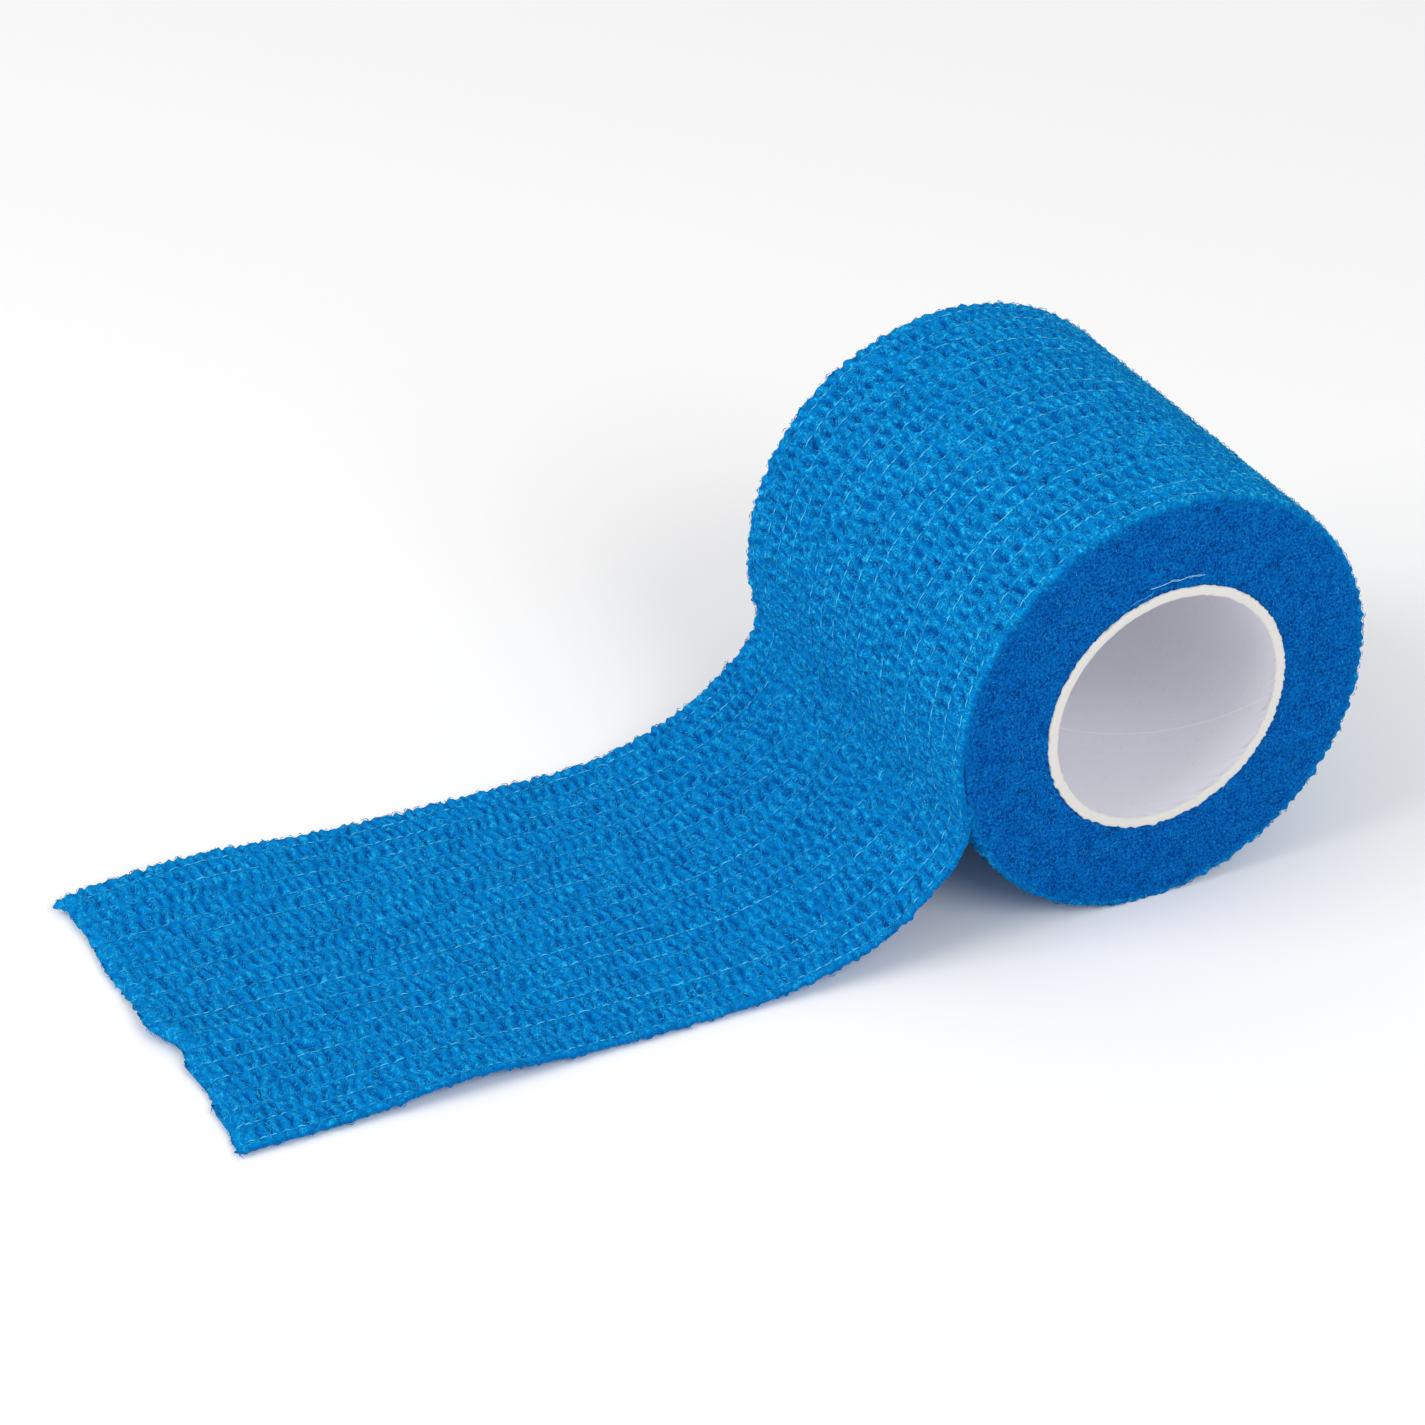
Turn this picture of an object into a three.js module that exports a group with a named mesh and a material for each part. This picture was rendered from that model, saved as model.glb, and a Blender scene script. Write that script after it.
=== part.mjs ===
// A roll of crinkled elastic tape wound on a paper core, with its loose end lying on the table.
// Millimetres, +Z up. The roll's axis lies along Y, and the loose end runs out along -X.
// The origin is on the table, straight below the roll's axis.
import * as THREE from 'three';

// Driving dimensions
const TAPE_WIDTH = 50;           // width of the strip, and so the length of the roll
const SHEET = 1.2;               // thickness of the crinkled strip
const ROLL_RADIUS = 26.25;       // outside of the last turn, where the loose end begins
const TURN_STEP = 0.4;           // how far the outside moves out in one turn
const FLAT_SPOT = 8;             // width of the flat that the roll rests on
const CORE_OUTER = 15.2;         // radii of the paper core
const CORE_INNER = 14;
const CORE_PROUD = 0.4;          // how far the core stands out of each end of the roll
const CORE_BEVEL = 0.2;          // worn edge of the core's rims
const CORE_GAP = 0.3;            // room between the core and the first turn
const THREADS = 18;              // lengthwise elastic threads, evenly spaced across the strip
const RIB_DEPTH = 0.25;          // how far a thread draws the cloth in between two rows of crinkles
const CUT_X = -110;              // where the loose end stops, before its ragged cut
const CUT_REACH = 14;            // length over which the raggedness of the cut fades out

// Angles about the roll's axis, in degrees from +X towards +Z
const LOOSE_START = 182;         // the last turn becomes the loose end here
const PEEL_START = 200;          // and peels away from the turn below it here
const NOTCH_OPENING = 1;         // blunt bottom of the notch between the loose end and the roll
const BOTTOM = 270;
const ARC_STEP = 6;
const ROUND_STEPS = 60;          // facets of the core and of the bore that holds it

// Middle of the loose end's thickness, seen from the side: it peels off the roll and lies down
const PEEL_PATH = [
  { x: -24.2, z: 16.8 },
  { x: -24.5, z: 14.5 },
  { x: -25.8, z: 12 },
  { x: -27.2, z: 10.4 },
  { x: -30.2, z: 7.7 },
  { x: -33.3, z: 5.6 },
  { x: -36.5, z: 3.9 },
  { x: -39.7, z: 2.6 },
  { x: -42.8, z: 1.7 },
  { x: -46, z: 1.05 },
  { x: -50, z: 0.7 },
  { x: -54, z: SHEET / 2 },
];
const LYING_STEPS = 12;          // steps along the part that lies on the table

// Places where the loose end lifts off the table in a soft wave
const LIFTS = [
  { x: -83, y: -25, reachX: 9, reachY: 8, height: 1.3 },
  { x: -96, y: 25, reachX: 12, reachY: 9, height: 1.5 },
  { x: -110, y: -3, reachX: 5, reachY: 6, height: 0.9 },
];

// The ragged cut across the end: how far it runs past CUT_X, from the front edge to the rear one
const CUT_EDGE = [
  { y: -25, past: -0.3 },
  { y: -20, past: -0.7 },
  { y: -13, past: -1.6 },
  { y: -9, past: -0.7 },
  { y: -5, past: -1.3 },
  { y: -1, past: 0.5 },
  { y: 7, past: 1 },
  { y: 17, past: 1 },
  { y: 22, past: 1.4 },
  { y: 25, past: 2 },
];

const radians = THREE.MathUtils.degToRad;
const spiralRadius = (angle) => ROLL_RADIUS - TURN_STEP * (LOOSE_START + 360 - angle) / 360;
const bottomRadius = spiralRadius(BOTTOM);
const flatHalfAngle = Math.asin(FLAT_SPOT / 2 / bottomRadius);
const ROLL_HEIGHT = bottomRadius * Math.cos(flatHalfAngle);

function rollPoint(angle, radius) {
  const a = radians(angle);
  return new THREE.Vector2(radius * Math.cos(a), ROLL_HEIGHT + radius * Math.sin(a));
}

// A point of the section, with the direction that faces out of the cloth and whether threads mark it
function sectionPoint(place, outward, ribbed, loose) {
  return { place, outward, ribbed, loose };
}

// The middle line of the loose end, from the last turn to the cut
function looseEndLine() {
  const line = [];
  for (let angle = LOOSE_START; angle < PEEL_START; angle += ARC_STEP) {
    line.push(rollPoint(angle, ROLL_RADIUS - SHEET / 2));
  }
  line.push(...PEEL_PATH.map(({ x, z }) => new THREE.Vector2(x, z)));
  const lyingStart = PEEL_PATH.at(-1).x;
  for (let i = 1; i <= LYING_STEPS; i += 1) {
    line.push(new THREE.Vector2(THREE.MathUtils.lerp(lyingStart, CUT_X, i / LYING_STEPS), SHEET / 2));
  }
  return line;
}

// The loose end's upper or lower side: the middle line moved out by half the thickness
function looseEndSide(line, side) {
  return line.map((place, i) => {
    const before = line[Math.max(i - 1, 0)];
    const after = line[Math.min(i + 1, line.length - 1)];
    const along = after.clone().sub(before).normalize();
    const outward = new THREE.Vector2(along.y, -along.x).multiplyScalar(side);
    const moved = place.clone().addScaledVector(outward, SHEET / 2);
    return sectionPoint(moved, outward, side > 0, true);
  });
}

// Angles at even steps from one to another, without the last
function sweep(from, to) {
  const steps = Math.round((to - from) / ARC_STEP);
  return Array.from({ length: steps }, (_, i) => THREE.MathUtils.lerp(from, to, i / steps));
}

function woundPoint(angle) {
  const outward = new THREE.Vector2(Math.cos(radians(angle)), Math.sin(radians(angle)));
  return sectionPoint(rollPoint(angle, spiralRadius(angle)), outward, true, false);
}

function restPoint(x) {
  return sectionPoint(new THREE.Vector2(x, 0), new THREE.Vector2(0, -1), false, false);
}

// The wound body's outside, from the notch under the loose end round to where the loose end begins.
// The flat spot is one straight step across the bottom.
function woundSide(notchAngle) {
  const flat = THREE.MathUtils.radToDeg(flatHalfAngle);
  return [
    ...sweep(notchAngle, BOTTOM - flat).map(woundPoint),
    restPoint(-FLAT_SPOT / 2),
    restPoint(FLAT_SPOT / 2),
    ...sweep(BOTTOM + flat, LOOSE_START + 360).slice(1).map(woundPoint),
  ];
}

// The strip's section as one closed loop: under the loose end, round the roll, and back over the loose end
function tapeSection() {
  const line = looseEndLine();
  const upper = looseEndSide(line, 1);
  const axis = new THREE.Vector2(0, ROLL_HEIGHT);
  const clearOfRoll = ({ place }) => place.distanceTo(axis) > spiralRadius(PEEL_START);
  const lower = looseEndSide(line, -1).filter(clearOfRoll).reverse();
  const notch = lower.at(-1).place.clone().sub(axis);
  const notchAngle = THREE.MathUtils.radToDeg(notch.angle()) + NOTCH_OPENING;
  return [...lower, ...woundSide(notchAngle), ...upper];
}

const wave = (offset, reach) => Math.exp(-((offset / reach) ** 2));

function liftAt(x, y) {
  return LIFTS.reduce(
    (sum, lift) => sum + lift.height * wave(x - lift.x, lift.reachX) * wave(y - lift.y, lift.reachY),
    0,
  );
}

function cutPast(y) {
  const next = CUT_EDGE.findIndex((row) => row.y >= y);
  const [from, to] = [CUT_EDGE[Math.max(next - 1, 0)], CUT_EDGE[next]];
  const share = to.y > from.y ? (y - from.y) / (to.y - from.y) : 0;
  return THREE.MathUtils.lerp(from.past, to.past, share);
}

// The section at one place across the width: drawn in at a thread, lifted in waves, and cut ragged
function sectionAt(section, y, drawnIn) {
  return section.map(({ place, outward, ribbed, loose }) => {
    const point = place.clone().addScaledVector(outward, ribbed ? -drawnIn : 0);
    if (loose) {
      point.y += liftAt(place.x, y);
      point.x -= cutPast(y) * THREE.MathUtils.smoothstep(CUT_REACH - (place.x - CUT_X), 0, CUT_REACH);
    }
    return new THREE.Vector3(point.x, y, point.y);
  });
}

// The bore that the core sits in, as a ring of points at one end of the roll
function boreRing(y) {
  return Array.from({ length: ROUND_STEPS }, (_, i) => {
    const { x, y: z } = rollPoint((360 * i) / ROUND_STEPS, CORE_OUTER + CORE_GAP);
    return new THREE.Vector3(x, y, z);
  });
}

// Faces between two loops of points, given by where they start in the vertex list
function bridge(faces, first, second, count) {
  for (let i = 0; i < count; i += 1) {
    const j = (i + 1) % count;
    faces.push(first + i, second + i, second + j);
    faces.push(first + i, second + j, first + j);
  }
}

// The whole strip: its section lofted across the width, one step to each thread and each row's crest
function tapeGeometry() {
  const section = tapeSection();
  const count = section.length;
  const stations = 2 * THREADS;
  const vertices = [];
  const faces = [];
  for (let i = 0; i <= stations; i += 1) {
    const y = TAPE_WIDTH * (i / stations - 0.5);
    const onThread = i % 2 === 1;
    vertices.push(...sectionAt(section, y, onThread ? RIB_DEPTH : 0));
  }
  for (let i = 0; i < stations; i += 1) {
    bridge(faces, i * count, (i + 1) * count, count);
  }

  const ends = [0, stations].map((station) => {
    const rim = station * count;
    const bore = vertices.length;
    vertices.push(...boreRing(vertices[rim].y));
    return { rim, bore };
  });
  bridge(faces, ends[1].bore, ends[0].bore, ROUND_STEPS);
  ends.forEach(({ rim, bore }, end) => {
    const flatten = (start, length) => vertices
      .slice(start, start + length)
      .map((v) => new THREE.Vector2(v.x, v.z));
    const cap = THREE.ShapeUtils.triangulateShape(flatten(rim, count), [flatten(bore, ROUND_STEPS)]);
    const vertexOf = (k) => (k < count ? rim + k : bore + k - count);
    cap.forEach(([a, b, c]) => {
      const corners = end === 0 ? [a, b, c] : [a, c, b];
      faces.push(...corners.map(vertexOf));
    });
  });

  const geometry = new THREE.BufferGeometry().setFromPoints(vertices);
  geometry.setIndex(faces);
  geometry.computeVertexNormals();
  return geometry;
}

// The paper tube, turned about the roll's axis
function coreGeometry() {
  const end = TAPE_WIDTH / 2 + CORE_PROUD;
  const profile = [
    [CORE_OUTER, -end + CORE_BEVEL],
    [CORE_OUTER, end - CORE_BEVEL],
    [CORE_OUTER - CORE_BEVEL, end],
    [CORE_INNER + CORE_BEVEL, end],
    [CORE_INNER, end - CORE_BEVEL],
    [CORE_INNER, -end + CORE_BEVEL],
    [CORE_INNER + CORE_BEVEL, -end],
    [CORE_OUTER - CORE_BEVEL, -end],
    [CORE_OUTER, -end + CORE_BEVEL],
  ];
  return new THREE.LatheGeometry(profile.map(([r, y]) => new THREE.Vector2(r, y)), ROUND_STEPS);
}

const crinkledCloth = new THREE.MeshStandardMaterial({ color: 0x0a78c1, roughness: 0.95, metalness: 0 });
const whitePaper = new THREE.MeshStandardMaterial({ color: 0xdad9d5, roughness: 0.85, metalness: 0 });

const bandage = new THREE.Mesh(tapeGeometry(), crinkledCloth);
bandage.name = 'bandage';

const core = new THREE.Mesh(coreGeometry(), whitePaper);
core.name = 'core';
core.position.z = ROLL_HEIGHT;

const tapeRoll = new THREE.Group();
tapeRoll.add(bandage, core);

export default tapeRoll;
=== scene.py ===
# %% [markdown]
# # A roll of crinkled sock tape
# The object is one strip of blue creped cloth, 50 mm wide, wound on a short paper tube. Its loose end has
# been peeled off the roll and lies on the table. Fine elastic threads run the length of the strip and draw
# the cloth up into rows of crinkles.
#
# The lesson starts by loading the imported model. It is the fixed frame that every piece is built round.

# %% Load the frame
import math

import bpy
import numpy as np
from mathutils import Matrix, Vector, noise


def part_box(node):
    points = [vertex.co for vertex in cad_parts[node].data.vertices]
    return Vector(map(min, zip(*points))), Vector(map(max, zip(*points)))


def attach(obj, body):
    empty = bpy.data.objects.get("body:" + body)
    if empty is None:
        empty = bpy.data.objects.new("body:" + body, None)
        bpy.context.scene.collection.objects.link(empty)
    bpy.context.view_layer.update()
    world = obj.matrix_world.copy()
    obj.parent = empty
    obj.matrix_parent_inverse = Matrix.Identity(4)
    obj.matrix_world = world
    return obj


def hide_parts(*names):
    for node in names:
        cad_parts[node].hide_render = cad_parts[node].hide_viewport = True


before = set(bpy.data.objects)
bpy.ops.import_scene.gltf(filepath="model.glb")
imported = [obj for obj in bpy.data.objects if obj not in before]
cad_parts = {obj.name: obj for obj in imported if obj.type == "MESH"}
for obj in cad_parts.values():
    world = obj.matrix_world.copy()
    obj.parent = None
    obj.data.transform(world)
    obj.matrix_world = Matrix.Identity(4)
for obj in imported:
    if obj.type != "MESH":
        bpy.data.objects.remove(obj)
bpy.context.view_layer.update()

print("nodes in the frame:", sorted(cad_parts))

# %% [markdown]
# The sizes that the frame already holds are read from it, so that nothing has to be fitted later. Small
# textile sizes are easier to read in millimetres, so the script works in those and turns them into
# Blender's metres only when a mesh is made.

# %% Read the sizes
MM = 0.001
core_low, core_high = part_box("core")
_, tape_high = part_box("bandage")
AXIS_HEIGHT = (core_low.z + core_high.z) / 2 / MM
CORE_OUTER = (core_high.x - core_low.x) / 2 / MM
CORE_END = core_high.y / MM
HALF_WIDTH = tape_high.y / MM
print(f"axis {AXIS_HEIGHT:.2f} mm up, core {2 * CORE_OUTER:.1f} mm across, tape {2 * HALF_WIDTH:.1f} mm wide")

# %% [markdown]
# The camera comes first, because every later choice is judged through it. Its angles were worked out from
# how the round end of the core turns into an ellipse in the picture, and its long lens from how little the
# tape narrows towards the back. The picture is square, so the lens follows from the focal length in pixels.

# %% Camera
PICTURE_SIDE = 1425
FOCAL_PIXELS = 4000
AZIMUTH = math.radians(-27.548)
ELEVATION = math.radians(32.703)
TWIST = math.radians(1.5)
LOOK_AT = Vector((-0.04309, 0, 0.02195))
CAMERA_DISTANCE = 0.4425
NEAREST_SEEN = 0.01


def add_object(name, data):
    made = bpy.data.objects.new(name, data)
    bpy.context.collection.objects.link(made)
    return made


camera = add_object("camera", bpy.data.cameras.new("camera"))
camera.data.lens = FOCAL_PIXELS / PICTURE_SIDE * camera.data.sensor_width
camera.data.clip_start = NEAREST_SEEN
back = Vector((
    math.sin(AZIMUTH) * math.cos(ELEVATION),
    -math.cos(AZIMUTH) * math.cos(ELEVATION),
    math.sin(ELEVATION),
))
level = Vector((math.cos(AZIMUTH), math.sin(AZIMUTH), 0))
right = Matrix.Rotation(TWIST, 3, back) @ level
turn = Matrix((right, back.cross(right), back)).transposed()
camera.matrix_world = Matrix.Translation(LOOK_AT + CAMERA_DISTANCE * back) @ turn.to_4x4()
bpy.context.scene.camera = camera
bpy.context.scene.view_settings.view_transform = "Standard"
print(f"camera at {[round(value, 4) for value in camera.location]}, lens {camera.data.lens:.1f} mm")

# %% [markdown]
# A studio picture of cloth wants broad, soft light, so that every crinkle has a light and a dark side but no
# hard shadow. One large lamp stands up and to the left, a weaker one in front fills the shadows, and a white
# world does the rest. The floor is pale and plain.

# %% Floor and light
FLOOR_REACH = 4.0
FLOOR_COLOUR = (0.97, 0.97, 0.97, 1)
FLOOR_ROUGHNESS = 0.9
WORLD_COLOUR = (1, 1, 1, 1)
WORLD_STRENGTH = 0.62
LAMPS = [
    {"name": "key_lamp", "place": (-0.85, 0.04, 0.65), "size": 0.7, "power": 4.9},
    {"name": "fill_lamp", "place": (0.1, -0.8, 0.66), "size": 0.6, "power": 3.5},
]


def add_lamp(name, place, size, power):
    lamp = bpy.data.lights.new(name, "AREA")
    lamp.shape = "DISK"
    lamp.size = size
    lamp.energy = power
    holder = add_object(name, lamp)
    holder.location = place
    holder.rotation_euler = (LOOK_AT - Vector(place)).to_track_quat("-Z", "Y").to_euler()


def start_material(name, roughness):
    """A new material without gloss, its tree and its shader"""
    material = bpy.data.materials.new(name)
    material.use_nodes = True
    shader = material.node_tree.nodes["Principled BSDF"]
    shader.inputs["Roughness"].default_value = roughness
    shader.inputs["Specular IOR Level"].default_value = 0.0
    return material, material.node_tree, shader


for lamp_row in LAMPS:
    add_lamp(**lamp_row)
world = bpy.data.worlds.new("studio")
world.use_nodes = True
sky = world.node_tree.nodes["Background"]
sky.inputs["Color"].default_value = WORLD_COLOUR
sky.inputs["Strength"].default_value = WORLD_STRENGTH
bpy.context.scene.world = world

floor_mesh = bpy.data.meshes.new("floor")
corners = [(x * FLOOR_REACH, y * FLOOR_REACH, 0) for x, y in ((-1, -1), (1, -1), (1, 1), (-1, 1))]
floor_mesh.from_pydata(corners, [], [(0, 1, 2, 3)])
floor_paint, _, floor_shader = start_material("pale_floor", FLOOR_ROUGHNESS)
floor_shader.inputs["Base Color"].default_value = FLOOR_COLOUR
floor_mesh.materials.append(floor_paint)
floor = add_object("floor", floor_mesh)
print("floor and", len(bpy.data.lights), "lamps")

# %% [markdown]
# Node trees do most of the work here, for shapes and for finishes alike. Wiring Math nodes one by one is
# hard to read, so a small class stands for one socket of a tree: writing a sum with two of them adds the
# Math node and its links. The same class serves geometry and material trees.

# %% Arithmetic with nodes


def pick(sockets, name=None):
    """The first socket in use, or the first with that name"""
    return next(s for s in sockets if s.enabled and (name is None or s.name == name))


def connect(value, socket):
    if isinstance(value, Field):
        socket.id_data.links.new(value.socket, socket)
    else:
        socket.default_value = value


def add_node(tree, kind, inputs=None, **settings):
    node = tree.nodes.new(kind)
    for name, value in settings.items():
        setattr(node, name, value)
    for name, value in (inputs or {}).items():
        connect(value, pick(node.inputs, name))
    return node


def result(node, name=None):
    return Field(pick(node.outputs, name))


class Field:
    """One output socket: arithmetic on it adds Math nodes to its tree"""

    def __init__(self, socket):
        self.socket = socket
        self.tree = socket.id_data

    def math(self, operation, *others):
        node = add_node(self.tree, "ShaderNodeMath", operation=operation)
        for value, socket in zip((self, *others), node.inputs):
            connect(value, socket)
        return result(node)

    def __add__(self, other):
        return self.math("ADD", other)

    def __sub__(self, other):
        return self.math("SUBTRACT", other)

    def __mul__(self, other):
        return self.math("MULTIPLY", other)

    def __truediv__(self, other):
        return self.math("DIVIDE", other)

    def __pow__(self, other):
        return self.math("POWER", other)

    def fade(self, low, high, low_value=0.0, high_value=1.0):
        """A smooth step from one value to another, between two levels"""
        steps = {"Value": self, "From Min": low, "From Max": high, "To Min": low_value, "To Max": high_value}
        return result(add_node(self.tree, "ShaderNodeMapRange", steps, interpolation_type="SMOOTHSTEP"))

    def rest(self, share=1.0):
        """What is left of 1 when a share of this value is taken from it"""
        return self * share * -1.0 + 1.0

    def clamp(self):
        """The value kept between 0 and 1"""
        return self.math("MAXIMUM", 0.0).math("MINIMUM", 1.0)


print("node arithmetic ready")

# %% [markdown]
# Cloth is never quite even, so noise is needed everywhere. It is read from places that the script works out,
# in layers that each have a pattern of their own. White noise gives a fixed random value to each whole
# number, such as the number of a thread. Nothing here changes from one run to the next.

# %% Places and noise


def vector(tree, x=0.0, y=0.0, z=0.0):
    return result(add_node(tree, "ShaderNodeCombineXYZ", {"X": x, "Y": y, "Z": z}))


def axes_of(tree, place):
    """The X, Y and Z of a place"""
    axes = add_node(tree, "ShaderNodeSeparateXYZ", {"Vector": place})
    return [result(axes, name) for name in "XYZ"]


def noise_round(tree, place, scale, detail=0.0):
    """Smooth noise about 0.5, with so many lumps to a unit of length"""
    inputs = {"Vector": place, "Scale": scale, "Detail": detail}
    return result(add_node(tree, "ShaderNodeTexNoise", inputs))


def noise_at(tree, x, y=0.0, layer=0.0, detail=0.0):
    """The same with lumps one unit across, from one of many layers"""
    return noise_round(tree, vector(tree, x, y, layer), 1.0, detail)


def sway(tree, x, y=0.0, layer=0.0, detail=0.0):
    """The same about 0, for what strays to both sides"""
    return noise_at(tree, x, y, layer, detail) - 0.5


def chance(tree, number):
    """A fixed random value from 0 to 1 for each number"""
    return result(add_node(tree, "ShaderNodeTexWhiteNoise", {"W": number}, noise_dimensions="1D"), "Value")


print("noise ready")

# %% [markdown]
# Three more helpers serve every piece. One turns arrays of points and faces into an object, with extra
# numbers stored on its points. One starts a geometry tree with named inputs for its sizes. The last runs a
# tree on an object and keeps the result as a plain mesh, which is what the export needs.

# %% Meshes and geometry trees


def mesh_object(name, points, faces, edges=(), numbers=None):
    """A new object from points in millimetres, with named numbers or directions stored on the points"""
    mesh = bpy.data.meshes.new(name)
    mesh.from_pydata(points * MM, list(edges), faces)
    for label, values in (numbers or {}).items():
        kind, slot = ("FLOAT", "value") if values.ndim == 1 else ("FLOAT_VECTOR", "vector")
        layer = mesh.attributes.new(label, kind, "POINT")
        layer.data.foreach_set(slot, np.ascontiguousarray(values, dtype=np.float32).ravel())
    return add_object(name, mesh)


def start_tree(name, sizes):
    """A geometry tree, and its inputs as fields by name"""
    tree = bpy.data.node_groups.new(name, "GeometryNodeTree")
    tree.interface.new_socket("Geometry", in_out="INPUT", socket_type="NodeSocketGeometry")
    tree.interface.new_socket("Geometry", in_out="OUTPUT", socket_type="NodeSocketGeometry")
    for label, value in sizes.items():
        kind = "NodeSocketInt" if isinstance(value, int) else "NodeSocketFloat"
        tree.interface.new_socket(label, in_out="INPUT", socket_type=kind)
    start = tree.nodes.new("NodeGroupInput")
    return tree, {socket.name: Field(socket) for socket in start.outputs if socket.name}


def end_tree(tree, geometry, material):
    """Every tree ends in smooth shading, real geometry in place of instances, and its material"""
    smooth = add_node(tree, "GeometryNodeSetShadeSmooth", {"Geometry": geometry})
    real = add_node(tree, "GeometryNodeRealizeInstances", {"Geometry": result(smooth)})
    finished = add_node(tree, "GeometryNodeSetMaterial", {"Geometry": result(real), "Material": material})
    end = tree.nodes.new("NodeGroupOutput")
    connect(result(finished), end.inputs["Geometry"])


def run_tree(piece, tree, sizes):
    modifier = piece.modifiers.new(tree.name, "NODES")
    modifier.node_group = tree
    for item in tree.interface.items_tree:
        if item.name in sizes:
            modifier[item.identifier] = sizes[item.name]
    depsgraph = bpy.context.evaluated_depsgraph_get()
    made = piece.evaluated_get(depsgraph)
    mesh = bpy.data.meshes.new_from_object(made, preserve_all_data_layers=True, depsgraph=depsgraph)
    piece.modifiers.clear()
    piece.data = mesh
    return piece


def count_triangles(piece):
    return sum(len(face.vertices) - 2 for face in piece.data.polygons)


print("mesh and tree helpers ready")

# %% [markdown]
# Several trees also read and store numbers on the points, move the points out of the cloth, and keep the
# result from sinking into the table. Set Position does the moving, with the direction out of the cloth read
# from the points, because a mesh that still has no thickness has no normals to rely on.

# %% Reading and moving points
TABLE_GAP = 0.02


def stored(tree, label, kind="FLOAT"):
    """A number or direction stored on the points, read in a geometry tree"""
    return result(add_node(tree, "GeometryNodeInputNamedAttribute", {"Name": label}, data_type=kind))


def store(tree, geometry, label, value):
    """The geometry with a number stored on its points, for its material to read"""
    inputs = {"Geometry": geometry, "Name": label, "Value": value}
    kind = {"data_type": "FLOAT", "domain": "POINT"}
    return result(add_node(tree, "GeometryNodeStoreNamedAttribute", inputs, **kind))


def point_place(tree):
    return result(add_node(tree, "GeometryNodeInputPosition"))


def raise_points(tree, geometry, height, sideways=None):
    """The geometry with its points moved out of the cloth by millimetres, and sideways by a vector"""
    stretch = {"Vector": stored(tree, "outward", "FLOAT_VECTOR"), "Scale": height * MM}
    offset = result(add_node(tree, "ShaderNodeVectorMath", stretch, operation="SCALE"))
    if sideways is not None:
        both = add_node(tree, "ShaderNodeVectorMath", operation="ADD")
        connect(offset, both.inputs[0])
        connect(sideways, both.inputs[1])
        offset = result(both)
    return result(add_node(tree, "GeometryNodeSetPosition", {"Geometry": geometry, "Offset": offset}))


def above_table(tree, geometry):
    """The geometry with no point lower than just above the table"""
    x, y, z = axes_of(tree, point_place(tree))
    place = vector(tree, x, y, z.math("MAXIMUM", TABLE_GAP * MM))
    return result(add_node(tree, "GeometryNodeSetPosition", {"Geometry": geometry, "Position": place}))


print("point helpers ready")

# %% [markdown]
# The strip's path, seen from the side, is the rule that the whole roll follows: a spiral round the core that
# moves out a little with each turn, then a curve that peels away from the roll and lies down. A Bezier curve
# drawn by hand would do for the loose end. Here the spiral is a formula and the peel is a few points with a
# smooth curve through them, so that a distance along the strip gives one place on one line. Distances are
# counted from where the loose end begins. Angles are in degrees about the roll's axis, from +X towards +Z.

# %% The line of the strip
SHEET = 1.2  # thickness of the crinkled cloth
ROLL_RADIUS = 26.25  # outside of the last turn, where the loose end begins
TURN_STEP = 0.4  # how far the outside moves out in one turn
HIDDEN_START = 188  # the last turn starts here, under the loose end
LOOSE_START = 182  # one turn on, it becomes the loose end
PEEL_START = 200  # and here it leaves the roll
ARC_STEP = 6
CUT_X = -110.0  # where the loose end stops, before its ragged cut
LYING_STEPS = 12
LINE_STEPS = 40
PEEL_PATH = [
    (-24.2, 16.8),
    (-24.5, 14.5),
    (-25.8, 12.0),
    (-27.2, 10.4),
    (-30.2, 7.7),
    (-33.3, 5.6),
    (-36.5, 3.9),
    (-39.7, 2.6),
    (-42.8, 1.7),
    (-46.0, 1.05),
    (-50.0, 0.7),
    (-54.0, SHEET / 2),
]


def smooth_line(points, steps):
    """A curve through the points, with each span cut into steps"""
    ends = np.vstack([2 * points[0] - points[1], points, 2 * points[-1] - points[-2]])
    t = np.linspace(0, 1, steps, endpoint=False)[:, None]
    spans = []
    for a, b, c, d in zip(ends, ends[1:], ends[2:], ends[3:]):
        curve = 2 * b + (c - a) * t + (2 * a - 5 * b + 4 * c - d) * t**2 + (3 * b - a - 3 * c + d) * t**3
        spans.append(curve / 2)
    return np.vstack([*spans, points[-1:]])


def on_roll(degrees):
    """Middle of the strip's thickness on the roll, with the angle counted on through every turn"""
    last = LOOSE_START + 360
    radius = ROLL_RADIUS - SHEET / 2 - TURN_STEP * np.maximum(last - degrees, 0) / 360
    angle = np.radians(degrees)
    return np.stack([radius * np.cos(angle), AXIS_HEIGHT + radius * np.sin(angle)], axis=-1)


wound = on_roll(np.arange(LOOSE_START + 360, HIDDEN_START, -ARC_STEP, dtype=float)[::-1])
leaving = on_roll(np.arange(LOOSE_START + ARC_STEP, PEEL_START, ARC_STEP, dtype=float) + 360)
lying_x = np.linspace(PEEL_PATH[-1][0], CUT_X, LYING_STEPS + 1)[1:]
lying = np.stack([lying_x, np.full(LYING_STEPS, SHEET / 2)], axis=-1)
line = smooth_line(np.vstack([wound, leaving, PEEL_PATH, lying]), LINE_STEPS)
line_along = np.concatenate([[0], np.cumsum(np.linalg.norm(np.diff(line, axis=0), axis=1))])
line_along -= line_along[(len(wound) - 1) * LINE_STEPS]
WOUND_LENGTH = -line_along[0]
LOOSE_LENGTH = line_along[-1]
print(f"last turn {WOUND_LENGTH:.1f} mm long, loose end {LOOSE_LENGTH:.1f} mm long")

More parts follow.
